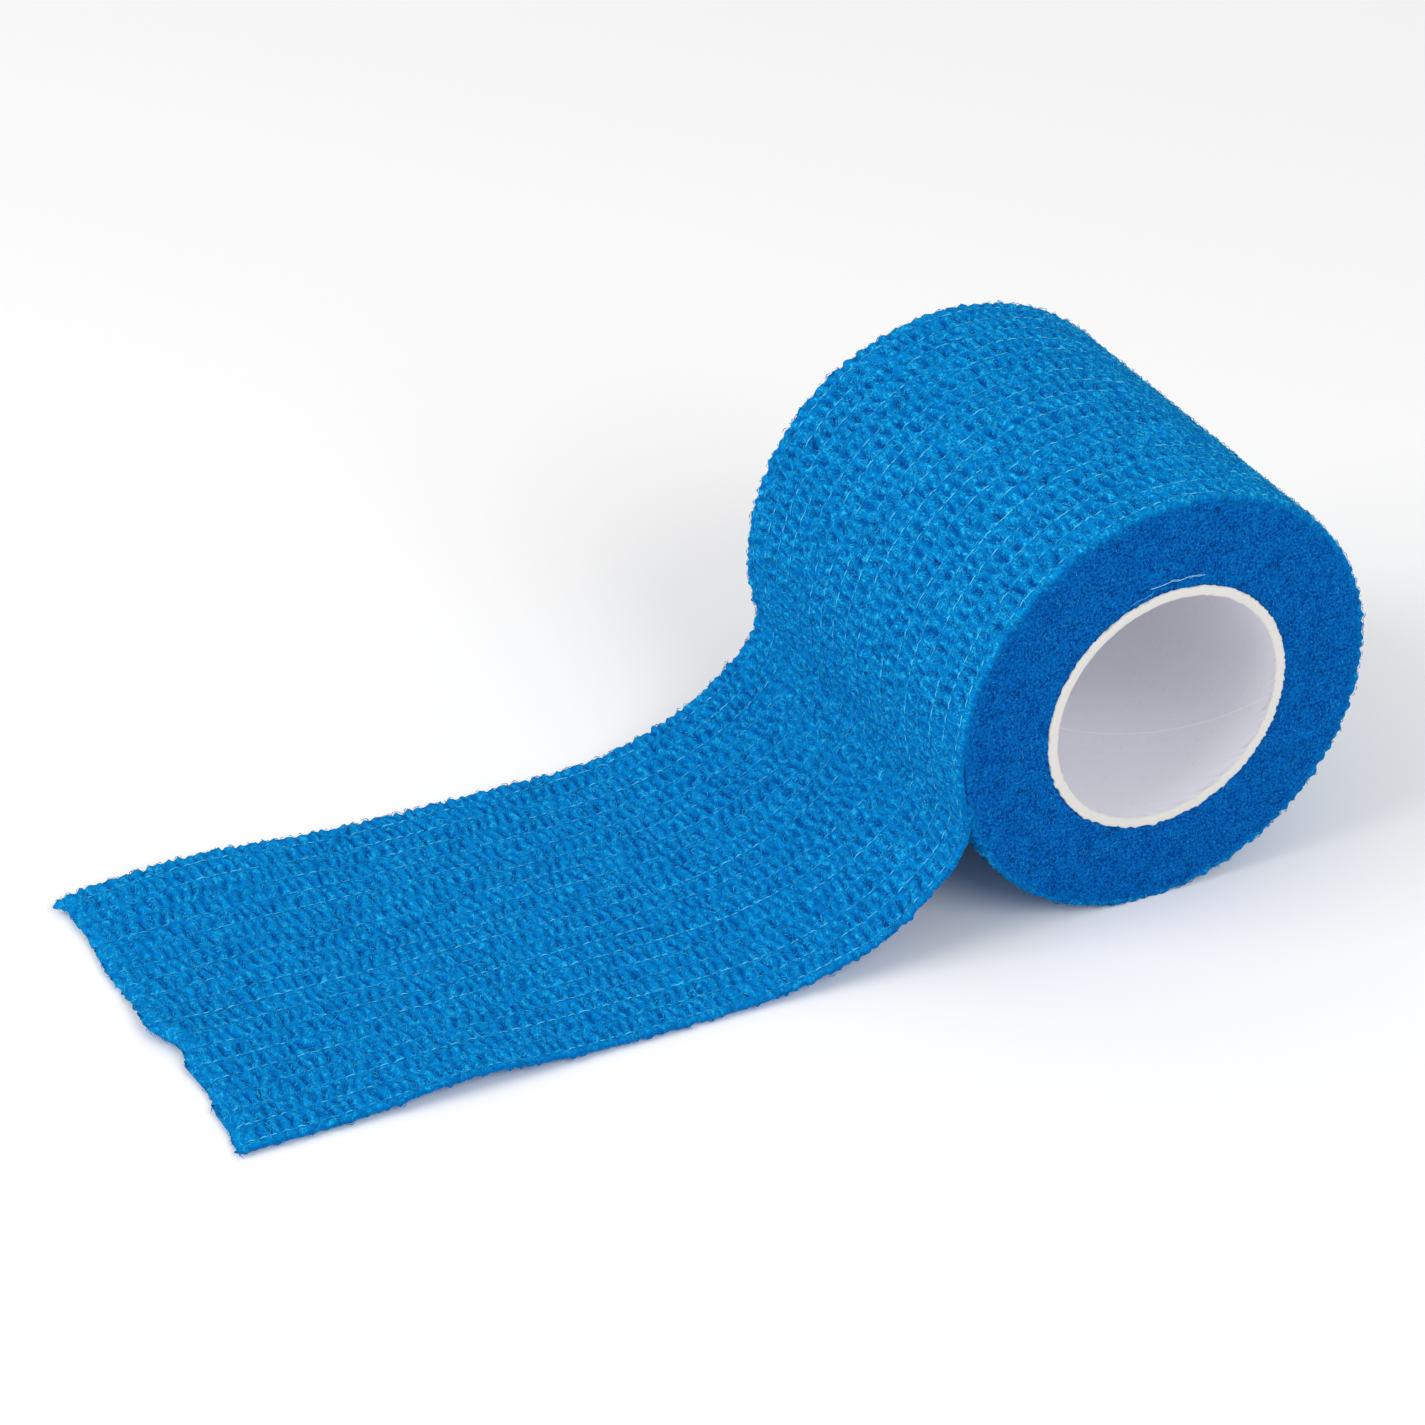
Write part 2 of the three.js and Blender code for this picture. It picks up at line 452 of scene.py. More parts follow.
# %% [markdown]
# The loose end isn't quite flat: it lifts in soft waves at three places and sinks a little at the front of
# the peel. Its cut is ragged, with a step near the middle and a pointed rear corner. All of it is added to
# the line, so two numbers, the distance along the strip and the distance across it, give any place on the
# cloth and the direction that faces out of it.

# %% The surface of the strip
CUT_REACH = 14.0  # length over which the raggedness of the cut fades out
LIFTS = [
    {"x": -83, "y": -25, "reach_x": 9, "reach_y": 8, "height": 1.3},
    {"x": -96, "y": 25, "reach_x": 12, "reach_y": 9, "height": 1.5},
    {"x": -110, "y": -3, "reach_x": 5, "reach_y": 6, "height": 0.9},
    {"x": -34, "y": -25, "reach_x": 5, "reach_y": 6, "height": -0.6},
]
# The cut: a place across the strip, and how far the cloth runs past the straight cut there
CUT_EDGE = [
    (-25.0, -0.3),
    (-23.5, -0.5),
    (-20.5, -1.1),
    (-17.5, -0.7),
    (-13.0, -1.6),
    (-11.5, -1.5),
    (-9.5, -0.7),
    (-7.4, -1.0),
    (-5.7, -0.9),
    (-4.7, -0.4),
    (-3.5, 0.4),
    (-1.8, 1.1),
    (3.5, 0.8),
    (7.5, 1.1),
    (10.5, 1.3),
    (16.5, 1.0),
    (22.0, 1.3),
    (23.4, 1.9),
    (24.2, 2.7),
    (25.0, 2.0),
]
CORNER_REACH = 3.0  # the rear corner is drawn in over this length
CORNER_START = 21.0
CORNER_WIDTH = 4.0
CORNER_PULL = 0.5
BESIDE = 0.8  # distance to the places that the direction is taken from


def smooth_step(share):
    share = np.clip(share, 0, 1)
    return share * share * (3 - 2 * share)


def cut_shift(along, across):
    """How far a point is moved on along the strip because the cut is ragged"""
    past = np.interp(across, *np.transpose(CUT_EDGE))
    return past * smooth_step(1 - (LOOSE_LENGTH - along) / CUT_REACH)


def tape_middle(along, across):
    """Place of the middle of the cloth's thickness"""
    x = np.interp(along, line_along, line[:, 0])
    z = np.interp(along, line_along, line[:, 1])
    for lift in LIFTS:
        away = ((x - lift["x"]) / lift["reach_x"]) ** 2 + ((across - lift["y"]) / lift["reach_y"]) ** 2
        z = z + lift["height"] * np.exp(-away)
    near_tip = smooth_step(1 - (LOOSE_LENGTH - along) / CORNER_REACH)
    corner = near_tip * smooth_step((across - CORNER_START) / CORNER_WIDTH)
    return np.stack([x - cut_shift(along, across), across - CORNER_PULL * corner, z], axis=-1)


def tape_outward(along, across):
    """Direction out of the cloth, from the places just beside this one"""
    forward = tape_middle(along + BESIDE, across) - tape_middle(along - BESIDE, across)
    sideways = tape_middle(along, across + BESIDE) - tape_middle(along, across - BESIDE)
    outward = np.cross(sideways, forward)
    return outward / np.linalg.norm(outward, axis=-1, keepdims=True)


def strip_numbers(along, across):
    """What the node trees need to know of each point on the strip"""
    return {
        "along": along + cut_shift(along, across),
        "across": across,
        "to_cut": LOOSE_LENGTH - along,
        "outward": tape_outward(along, across),
    }


rear_tip = tape_middle(np.array([LOOSE_LENGTH]), np.array([HALF_WIDTH]))[0]
print("rear corner of the cut at", [round(float(value), 1) for value in rear_tip])

# %% [markdown]
# A plain grid is laid on that surface before any crinkle is raised. It is a flattened tube: a fine upper side
# for the crinkles and a coarse underside, joined along both edges and zipped together at the ends, so the
# cloth is one closed skin. Solidify would close it too, but would spend as many faces underneath as on top.

# %% Grid for the cloth
UPPER_COLUMNS = 179
UNDER_SHARES = [1, 0.985, 0.95, 0.88, 0.7, 0.5, 0.3, 0.1]
WOUND_ROWS = 490
LOOSE_ROWS = 440


def zip_ends(upper, under):
    """Triangles between two rows of points that run the same way, however many each has"""
    faces = []
    a = b = 0
    while a < len(upper) - 1 or b < len(under) - 1:
        upper_next = (a + 1) / (len(upper) - 1)
        under_next = (b + 1) / (len(under) - 1)
        if upper_next <= under_next:
            faces.append((upper[a], upper[a + 1], under[b]))
            a += 1
        else:
            faces.append((upper[a], under[b + 1], under[b]))
            b += 1
    return faces


def cloth_grid(name, start, end, rows):
    """A stretch of the strip as a closed flat skin, which still has no thickness"""
    upper = np.linspace(-HALF_WIDTH, HALF_WIDTH, UPPER_COLUMNS)
    half = np.array(UNDER_SHARES) * HALF_WIDTH
    ring = np.concatenate([upper, half, -half[::-1]])
    is_upper = np.concatenate([np.ones(UPPER_COLUMNS), np.zeros(2 * len(half))])
    along, across = (v.ravel() for v in np.meshgrid(np.linspace(start, end, rows + 1), ring, indexing="ij"))
    number = np.arange(len(along)).reshape(rows + 1, len(ring))
    beside = np.roll(number, -1, axis=1)
    quads = np.stack([number[:-1], beside[:-1], beside[1:], number[1:]], axis=-1).reshape(-1, 4)
    faces = quads.tolist()
    first, last = number[0], number[-1]
    faces += [face[::-1] for face in zip_ends(first[:UPPER_COLUMNS], first[:UPPER_COLUMNS - 1:-1])]
    faces += zip_ends(last[:UPPER_COLUMNS], last[:UPPER_COLUMNS - 1:-1])
    numbers = {**strip_numbers(along, across), "upper": np.tile(is_upper, rows + 1)}
    return mesh_object(name, tape_middle(along, across), faces, numbers=numbers)


wound_cloth = cloth_grid("outer_turn", -WOUND_LENGTH, 0, WOUND_ROWS)
loose_cloth = cloth_grid("loose_end", 0, LOOSE_LENGTH, LOOSE_ROWS)
print("grids of", len(wound_cloth.data.vertices), "and", len(loose_cloth.data.vertices), "points")

# %% [markdown]
# The finish of the cloth is a matte nonwoven of fine curly fibres, which run mostly across the strip. Its
# colour is painted lighter on the ridges and deeper blue in the slits, as painted light and shade, and deeper
# blue along the cut sides, as painted shade. The lighter fibres are painted dimmer in the slits and along the
# cut sides, and brighter on the roll, where more light falls, than on the lying end. The tree that raises the
# crinkles leaves three numbers on each point, how far along and across the strip it is and how high on a
# ridge, and the material reads them, so the finish follows the cloth round the roll. Gloss would grey this
# strong blue, so it is left out.

# %% Cloth finish
CLOTH_RIDGE = (0.0012, 0.21, 0.58, 1)
# Painted shade: the deeper blue of the slits.
CLOTH_SLIT_SHADE = (0.0004, 0.095, 0.39, 1)
CLOTH_FIBRE = (0.02, 0.56, 0.95, 1)
# Painted shade: the deeper blue along the cut sides of the cloth and of its fuzz.
CLOTH_EDGE = (0.001, 0.13, 0.44, 1)
CLOTH_ROUGHNESS = 0.9
CLOTH_SHEEN = 0.04
SHEEN_BLUE = (0.08, 0.55, 1.0, 1)
FIBRE_GAP = 0.6  # between fibres, along the strip
FIBRE_RUN = 1.4  # across the strip, before a fibre turns away
FIBRE_LENGTH = 1.0
FIBRE_LAYERS = (3.0, 27.0, 51.0)
FIBRE_LINE = (0.006, 0.034)  # how far from its middle value the noise still makes a line
FIBRE_BREAKS = (0.38, 0.62)  # levels of the noise that breaks the lines
BREAK_LAYER = 9.0
PATCHES_ALONG = 0.16  # lighter and darker patches to a millimetre
PATCHES_ACROSS = 0.2
PATCH_DEPTH = 0.3
# Painted shade: a band along the cut sides is drawn deeper blue, and the fibres there lose brightness.
EDGE_SHADE = 0.3  # width of the darker band along the cut sides
EDGE_SHADE_PAST = 0.1
EDGE_DULLS = 0.75  # share of the fibres' brightness that the band loses
# Painted light and shade on the fibres: dimmer in the slits, and brighter on the roll, where more light
# falls, than on the lying end.
SLIT_SHINE = 0.4  # share of the brightness that is left in a slit
SHINE_CHANGES = (0.0, 30.0)  # distances along the strip
SHINE_ON_ROLL = 0.8
SHINE_LYING = 0.6


def painted(tree, label):
    """A number stored on the points, read in a material"""
    return result(add_node(tree, "ShaderNodeAttribute", attribute_name=label), "Fac")


def blend_colours(tree, share, first, second):
    colours = {"Factor": share, "A": first, "B": second}
    return result(add_node(tree, "ShaderNodeMix", colours, data_type="RGBA"))


def add_sheen(shader, weight):
    shader.inputs["Sheen Weight"].default_value = weight
    shader.inputs["Sheen Tint"].default_value = SHEEN_BLUE


def add_bump(tree, shader, height, strength, distance):
    relief = {"Strength": strength, "Distance": distance * MM, "Height": height}
    connect(result(add_node(tree, "ShaderNodeBump", relief)), shader.inputs["Normal"])


def at_side_edge(across, width, past=0.0):
    """A step from 0 on the strip to 1 at its sides: it starts this far inside them and ends this far past"""
    return across.math("ABSOLUTE").fade(HALF_WIDTH - width, HALF_WIDTH + past)


def strongest(first, *others):
    for other in others:
        first = first.math("MAXIMUM", other)
    return first


def curly_fibre(tree, along, across, layer):
    """Thin lines where slow noise passes its middle value, broken up into fibres by other noise"""
    level = sway(tree, along / FIBRE_GAP, across / FIBRE_RUN, layer, detail=1.0)
    strand = level.math("ABSOLUTE").fade(*FIBRE_LINE, 1.0, 0.0)
    broken = noise_at(tree, along / FIBRE_LENGTH, across / FIBRE_LENGTH, layer + BREAK_LAYER)
    return strand * broken.fade(*FIBRE_BREAKS)


def cloth_finish():
    material, tree, shader = start_material("crinkled_blue_cloth", CLOTH_ROUGHNESS)
    add_sheen(shader, CLOTH_SHEEN)
    along, across, ridge = (painted(tree, label) for label in ("along", "across", "ridge"))
    fibre = strongest(*(curly_fibre(tree, along, across, layer) for layer in FIBRE_LAYERS))
    patch = sway(tree, along * PATCHES_ALONG, across * PATCHES_ACROSS, layer=3.0)
    # Painted shade and light: the ridge share darkens the slits, the edge band darkens the cut sides, and the
    # fibres' brightness follows both.
    shade_and_patch = (ridge + patch * PATCH_DEPTH).clamp()
    edge_shade = at_side_edge(across, EDGE_SHADE, EDGE_SHADE_PAST)
    cloth = blend_colours(tree, shade_and_patch, CLOTH_SLIT_SHADE, CLOTH_RIDGE)
    cloth = blend_colours(tree, edge_shade, cloth, CLOTH_EDGE)
    shine = along.fade(*SHINE_CHANGES, SHINE_ON_ROLL, SHINE_LYING)
    shine = shine * (shade_and_patch * (1 - SLIT_SHINE) + SLIT_SHINE) * edge_shade.rest(EDGE_DULLS)
    connect(blend_colours(tree, fibre * shine, cloth, CLOTH_FIBRE), shader.inputs["Base Color"])
    add_bump(tree, shader, fibre, strength=0.6, distance=0.12)
    return material


cloth_blue = cloth_finish()
print("finish:", cloth_blue.name)

# %% [markdown]
# This is the main rule of the object. Elastic threads lie about 2.8 mm apart. Between two threads the cloth
# bulges, and it is gathered into round ridges with narrow slits between them, about 1.3 mm apart on the
# relaxed loose end and 1.5 mm on the roll, where the tape is stretched. Each row starts at its own place, and
# slow noise makes spacing, depth and the lines of the threads uneven. Sculpting or a bump map could imitate
# this, but a formula in nodes gives real ridges that catch the light and shape the edges.
#
# The numbers of the rule are named inputs of its tree: millimetres, shares, or rates to a millimetre. The
# roll changes only some of them. A second list says where the crinkles are calmer: at the sides, where the
# strip bends off the roll, and near the cut. A third gives the thickness of the cloth and its frayed edges.

# %% Sizes of the crinkles
THREADS = 18
ROW_PITCH = 2 * HALF_WIDTH / THREADS
CREPE_SIZES = {
    "Row pitch": ROW_PITCH,
    "Row shift": 0.5,
    "Row chance": 0.4,
    "Crinkle pitch": 1.33,
    "Drift": 1.6,
    "Drift along": 6.0,
    "Drift across": 4.5,
    "Waver": 1.6,
    "Waver pitch": 1.9,
    "Waver across": 0.1,
    "Fold depth": 0.12,
    "Slit depth": 0.35,
    "Slit width": 0.36,
    "Slit reach": 0.2,
    "Slit end": 0.55,
    "Shallowest slit": 0.65,
    "Deepest slit": 1.12,
    "Stagger": 0.06,
    "Lumps": 0.13,
    "Lumps along": 1.6,
    "Lumps across": 1.3,
    "Thread pull": 0.2,
    "Thread wander": 1.1,
    "Wander length": 26.0,
    "Threads aside": 0.4,
    "Edge scallop": 0.36,
}
CALM_SIZES = {
    "Side calm": 0.75,
    "Bend place": 6.0,
    "Bend reach": 9.0,
    "Bend calm": 0.45,
    "Stretch start": 12.0,
    "Stretch end": 48.0,
    "Stretched depth": 1.4,
    "Cut calm start": 0.6,
    "Cut calm end": 4.0,
    "Cut calm depth": 0.4,
    "Cut calm sway": 6.0,
    "Cut calm rate": 0.3,
}
SKIN_SIZES = {
    "Ridge height": 0.55,
    "Underside": -0.5,
    "Edge thickness": 0.4,
    "Edge drop": 0.15,
    "Edge burr": 0.9,
    "Burr rate": 0.85,
    "Edge frill": 1.2,
    "Frill rate": 0.7,
    "Cut round": 1.4,
    "Cut drop": 0.3,
    "Cut scallop": 0.2,
    "Cut fray": 1.3,
    "Fray rate": 1.4,
    "Cut underside": 1.0,
}
LOOSE_SIZES = {**CREPE_SIZES, **CALM_SIZES, **SKIN_SIZES}
ROLL_SIZES = {
    **LOOSE_SIZES,
    "Crinkle pitch": 1.52,
    "Slit depth": 0.39,
    "Slit width": 0.46,
    "Slit reach": 0.12,
    "Slit end": 0.56,
    "Stagger": 0.07,
    "Waver": 1.0,
    "Lumps": 0.28,
    "Edge scallop": 0.3,
    "Thread pull": 0.14,
    "Edge drop": 0.3,
    "Edge burr": 1.3,
    "Edge frill": 1.0,
}
print(f"{THREADS} threads, {ROW_PITCH:.2f} mm apart")

# %% Rule of the crinkles
FREE_EDGE = 1.1  # the crinkles start to fade this far from the sides
FREE_EDGE_END = 0.2
PULL_SHADE = 0.15  # how much a thread's pull and a lump count in the ridge share
LUMP_SHADE = 1.6


def cell_chance(tree, cell, row):
    """A fixed random value for each crinkle"""
    cells = {"Vector": vector(tree, cell, row)}
    return result(add_node(tree, "ShaderNodeTexWhiteNoise", cells, noise_dimensions="2D"), "Value")


def bell(value, width):
    """1 where the value is 0, falling off smoothly"""
    return ((value / width) ** 2.0 * -1.0).math("EXPONENT")


def arch(share):
    """0 at both ends of a share from 0 to 1, and 1 in the middle"""
    return (share * math.pi).math("SINE")


def thread_wander(tree, size, along):
    """How far all the threads have strayed towards the front"""
    strayed = sway(tree, along / size["Wander length"], layer=11.0) * size["Thread wander"]
    return strayed + size["Threads aside"]


def thread_rows(tree, size, along, across):
    """Number of the row between two threads, and the share of the way across that row"""
    thread_line = (across + thread_wander(tree, size, along)) / size["Row pitch"] + 0.5
    row = thread_line.math("FLOOR")
    return row, thread_line - row


def crinkle_calm(tree, size, along, across, to_cut):
    """Share of the crinkles' depth that is left at the bend and near the cut"""
    opened = bell(along - size["Bend place"], size["Bend reach"]).rest(size["Bend calm"])
    uneven_cut = to_cut + sway(tree, across * size["Cut calm rate"], layer=51.0) * size["Cut calm sway"]
    return uneven_cut.fade(size["Cut calm start"], size["Cut calm end"], size["Cut calm depth"], 1.0) * opened


def crinkles(tree, size, along, across, to_cut):
    """Depth below the ridge tops in millimetres, and how high on a ridge from 0 to 1, for painted shade"""
    row, share = thread_rows(tree, size, along, across)
    bends = sway(tree, along / size["Waver pitch"], across / size["Waver pitch"], layer=21.0, detail=2.0)
    waver = bends * size["Waver"]
    drift = sway(tree, along / size["Drift along"], across / size["Drift across"], layer=31.0) * size["Drift"]
    phase = (along + waver) / size["Crinkle pitch"] + drift
    phase = phase + row * size["Row shift"] + chance(tree, row) * size["Row chance"]
    cell = phase.math("FLOOR")
    slit = (phase - cell - 0.5).math("ABSOLUTE").fade(0.0, size["Slit width"], 1.0, 0.0)
    side = (cell.math("FLOORED_MODULO", 2.0) * 2.0 - 1.0) * size["Stagger"]
    from_middle = share - 0.5 + waver * size["Waver across"] + side
    reach = from_middle.math("ABSOLUTE").fade(size["Slit reach"], size["Slit end"], 1.0, 0.0)
    luck = cell_chance(tree, cell, row)
    gather = slit * reach * luck.fade(0.0, 1.0, size["Shallowest slit"], size["Deepest slit"])
    fold = (phase * (2 * math.pi)).math("COSINE") * -0.5 + 0.5
    free_edge = at_side_edge(across, FREE_EDGE, -FREE_EDGE_END)
    inside = free_edge.rest(size["Side calm"])
    calm = crinkle_calm(tree, size, along, across, to_cut) * inside
    scallop = (fold - 0.5) * free_edge * luck * size["Edge scallop"]
    pulled = arch(share).rest() ** 2.0 * inside
    lumps = sway(tree, along * size["Lumps along"], across * size["Lumps across"], layer=5.0, detail=2.0)
    lump = lumps * size["Lumps"]
    stretched = along.fade(size["Stretch start"], size["Stretch end"], size["Stretched depth"], 1.0)
    folds = gather * stretched * size["Slit depth"] + fold * size["Fold depth"]
    depth = folds * calm + pulled * size["Thread pull"] - lump + scallop
    ridge = ((gather + pulled * PULL_SHADE) * calm).rest() + lump * LUMP_SHADE
    return depth, ridge.clamp()


print("crinkle rule ready")

# %% [markdown]
# The tree then moves each point of the grid out of the cloth, the upper side by the rule and the underside
# by a little less than half the thickness. At the sides and at the cut the two close up to a thin edge. Noise
# frays it: burrs up and down, a frill sideways, and tufts between the threads where the cut crosses them.

# %% Raise the crinkles
EDGE_ROUND = 0.6
SIDES_APART = 5.0  # the two sides read their frill from places this far apart in the noise
TUFT_LEVEL = 0.6  # share of a row's arch at which its tuft neither stands out nor is drawn back


def crepe_tree():
    tree, size = start_tree("raise_crinkles", LOOSE_SIZES)
    along, across, to_cut, upper = (stored(tree, label) for label in ("along", "across", "to_cut", "upper"))
    depth, ridge = crinkles(tree, size, along, across, to_cut)
    side = across.math("SIGN")
    side_edge = at_side_edge(across, EDGE_ROUND)
    near_cut = to_cut.fade(0.0, size["Cut round"], 1.0, 0.0)
    edge = side_edge.math("MAXIMUM", near_cut)
    burrs = sway(tree, along * size["Burr rate"], across * size["Burr rate"], layer=41.0, detail=2.0)
    drop = burrs * size["Edge burr"] - size["Edge drop"]
    top = size["Ridge height"] - depth + drop * edge - near_cut * size["Cut drop"]
    under = size["Underside"] + (top - size["Edge thickness"] - size["Underside"]) * edge
    height = under + (top - under) * upper
    frills = sway(tree, along * size["Frill rate"], side * SIDES_APART, layer=43.0, detail=2.0)
    frill = frills * size["Edge frill"] * side_edge * side
    fray = sway(tree, across * size["Fray rate"], layer=47.0, detail=2.0) * size["Cut fray"]
    _, share = thread_rows(tree, size, along, across)
    tuft = (arch(share) - TUFT_LEVEL) * size["Cut scallop"]
    drawn_back = upper.rest() * size["Cut underside"]
    sideways = vector(tree, (drawn_back - fray - tuft) * near_cut * MM, frill * MM)
    cloth = above_table(tree, raise_points(tree, size["Geometry"], height, sideways))
    # The ridge share is stored for the cloth's finish, which paints shade in the slits from it.
    end_tree(tree, store(tree, cloth, "ridge", ridge), cloth_blue)
    return tree


raise_crinkles = crepe_tree()
run_tree(wound_cloth, raise_crinkles, ROLL_SIZES)
run_tree(loose_cloth, raise_crinkles, LOOSE_SIZES)
for cloth_piece in (wound_cloth, loose_cloth):
    print(cloth_piece.name, count_triangles(cloth_piece), "triangles")

# %% [markdown]
# The ends of the roll show the edges of all the turns at once. Pressed together they look like felt, with a
# fine grain, soft patches and small pits, painted darker as painted shade, a little lighter near the rim, and
# single turns can't be told apart. One ring stands for all of them. Its two faces get a fine grid, and a
# small tree of noise raises the grain, since the outermost turn and its frilled edge are already there.

# %% Felt finish
FELT_LIGHT = (0.0012, 0.13, 0.47, 1)
FELT_DARK = (0.0005, 0.04, 0.25, 1)
# Painted shade: the darker blue of the small pits, which are colour only.
FELT_PIT_SHADE = (0.0004, 0.025, 0.16, 1)
FELT_SPECK = (0.012, 0.3, 0.7, 1)
FELT_ROUGHNESS = 0.95
FELT_SHEEN = 0.06
GRAIN_RATE = 3.2  # grains, patches and pits to a millimetre
PATCH_RATE = 0.5
PIT_RATE = 0.9
GRAIN_SHARE = 0.75  # of the tone; the patches give the rest
TONE_LEVELS = (0.4, 0.61)
PIT_LEVELS = (0.6, 0.72)
PIT_STRENGTH = 0.7
RIM_START = 2.2  # the lighter rim, in from the outside
RIM_END = 0.5
RIM_RAGGED = 1.2
RIM_STRENGTH = 0.5
SPECK_LAYERS = [(2.4, 5.0), (2.0, 35.0)]  # how much finer than on the cloth, and the layer
SPECK_STRENGTH = 0.55
SPECK_RELIEF = 0.3


def object_place(tree):
    return result(add_node(tree, "ShaderNodeTexCoord"), "Object")


def felt_finish():
    material, tree, shader = start_material("felted_turn_edges", FELT_ROUGHNESS)
    add_sheen(shader, FELT_SHEEN)
    x, _, z = axes_of(tree, object_place(tree))
    x, z = x / MM, z / MM
    grain = noise_at(tree, x * GRAIN_RATE, z * GRAIN_RATE, layer=2.0, detail=3.0)
    patch = noise_at(tree, x * PATCH_RATE, z * PATCH_RATE, layer=14.0, detail=2.0)
    pit_shade = noise_at(tree, x * PIT_RATE, z * PIT_RATE, layer=8.0, detail=1.0).fade(*PIT_LEVELS)
    radius = (x ** 2.0 + (z - AXIS_HEIGHT) ** 2.0) ** 0.5
    near_rim = (radius + (patch - 0.5) * RIM_RAGGED).fade(ROLL_RADIUS - RIM_START, ROLL_RADIUS - RIM_END)
    speck = strongest(*(curly_fibre(tree, x * finer, z * finer, layer) for finer, layer in SPECK_LAYERS))
    tone = grain * GRAIN_SHARE + patch * (1 - GRAIN_SHARE)
    felt = blend_colours(tree, tone.fade(*TONE_LEVELS), FELT_DARK, FELT_LIGHT)
    felt = blend_colours(tree, near_rim * RIM_STRENGTH, felt, CLOTH_EDGE)
    # Painted shade in the pits.
    felt = blend_colours(tree, pit_shade * PIT_STRENGTH, felt, FELT_PIT_SHADE)
    felt = blend_colours(tree, speck * SPECK_STRENGTH, felt, FELT_SPECK)
    connect(felt, shader.inputs["Base Color"])
    add_bump(tree, shader, grain + speck * SPECK_RELIEF, strength=0.6, distance=0.15)
    return material


felt_blue = felt_finish()
print("finish:", felt_blue.name)

# %% Felt of the turn edges
FELT_INNER = CORE_OUTER + 0.03  # just clear of the core
FELT_INSET = 0.05
FELT_RISE = 0.25  # the felt stands up against the core, and flattens over the reach
FELT_RISE_REACH = 2.0
FELT_RINGS = 54
FELT_STEPS = 540
FELT_SIZES = {"Grain height": 0.5, "Grain pitch": 0.55, "Swell height": 0.2}
SWELL_RATE = 0.16  # swells to a grain


def felt_tree():
    tree, size = start_tree("raise_felt", FELT_SIZES)
    place = point_place(tree)
    grains_to_metre = size["Grain pitch"] ** -1.0 / MM
    grain = noise_round(tree, place, grains_to_metre, detail=1.0) - 0.5
    swell = noise_round(tree, place, grains_to_metre * SWELL_RATE) - 0.5
    height = grain * size["Grain height"] + swell * size["Swell height"]
    end_tree(tree, raise_points(tree, size["Geometry"], height), felt_blue)
    return tree


def turned(radius, across, angle):
    """Points of a profile turned about the roll's axis: a row for each point of the profile"""
    y = np.broadcast_to(across, radius.shape)
    return np.stack([radius * np.cos(angle), y, AXIS_HEIGHT + radius * np.sin(angle)], axis=-1).reshape(-1, 3)


def turned_faces(rings, steps):
    """Faces of a closed profile turned all the way round"""
    number = np.arange(rings * steps).reshape(rings, steps)
    nearby = np.roll(number, -1, axis=0)
    quads = [number, nearby, np.roll(nearby, -1, axis=1), np.roll(number, -1, axis=1)]
    return np.stack(quads, axis=-1).reshape(-1, 4).tolist()


def felt_ring():
    degrees = LOOSE_START + np.linspace(0, 360, FELT_STEPS, endpoint=False)
    under_cloth = np.linalg.norm(on_roll(degrees) - (0, AXIS_HEIGHT), axis=-1)
    share = np.linspace(0, 1, FELT_RINGS)[:, None]
    out = FELT_INNER + (under_cloth - FELT_INNER) * share
    face = HALF_WIDTH - FELT_INSET + FELT_RISE * np.exp((FELT_INNER - out) / FELT_RISE_REACH)
    radius = np.concatenate([out, out[::-1]])
    across = np.concatenate([-face, face[::-1]])
    points = turned(radius, across, np.radians(degrees))
    outward = np.zeros((len(points), 3))
    outward[:, 1] = np.sign(points[:, 1])
    numbers = {"outward": outward, "upper": np.ones(len(points))}
    return mesh_object("wound_turns", points, turned_faces(2 * FELT_RINGS, FELT_STEPS), numbers=numbers)


turn_edges = run_tree(felt_ring(), felt_tree(), FELT_SIZES)
print(turn_edges.name, count_triangles(turn_edges), "triangles")

# %% [markdown]
# The elastic threads are what gather the cloth. On the face of the tape they show as rows of short pale
# dashes, where a thread comes up over a ridge before it dips under the fibres again. Each thread is a
# polyline that half follows the crinkle rule of the cloth, rises and dips as it goes, and is swept into a
# fine tube by Curve to Mesh. How far it shows is stored on it, and its finish is paler there. A painted
# dotted line would look right only from far away.

# %% Thread finish and lines
# The thread's own pale colour, raised to the brightest blue as a painted highlight in place of the gloss that
# its matte finish leaves out.
THREAD_PALE_AND_HIGHLIGHT = (0.17, 0.78, 1.0, 1)
THREAD_UNDER_FIBRES = (0.005, 0.3, 0.7, 1)
THREAD_ROUGHNESS = 0.6
THREAD_STEP = 0.34
BARE_ALONG = 0.7  # bare and covered stretches to a millimetre
BARE_ACROSS = 3.0
BARE_LEVELS = (0.36, 0.6)
LEAST_BARE = 0.15
PALE_LEVELS = (0.3, 0.85)
THREADS_HIDDEN = 4.0  # length at the start of the last turn without threads, under the loose end
THREADS_TUCKED = 0.5  # the threads stop this far before the cut


def thread_finish():
    material, tree, shader = start_material("pale_elastic_thread", THREAD_ROUGHNESS)
    along, across = (painted(tree, label) for label in ("along", "across"))
    bare = noise_at(tree, along * BARE_ALONG, across * BARE_ACROSS).fade(*BARE_LEVELS, LEAST_BARE, 1.0)
    share = painted(tree, "shown").fade(*PALE_LEVELS) * bare
    # Paler where the thread shows, partly painted highlight.
    connect(blend_colours(tree, share, THREAD_UNDER_FIBRES, THREAD_PALE_AND_HIGHLIGHT), shader.inputs["Base Color"])
    return material


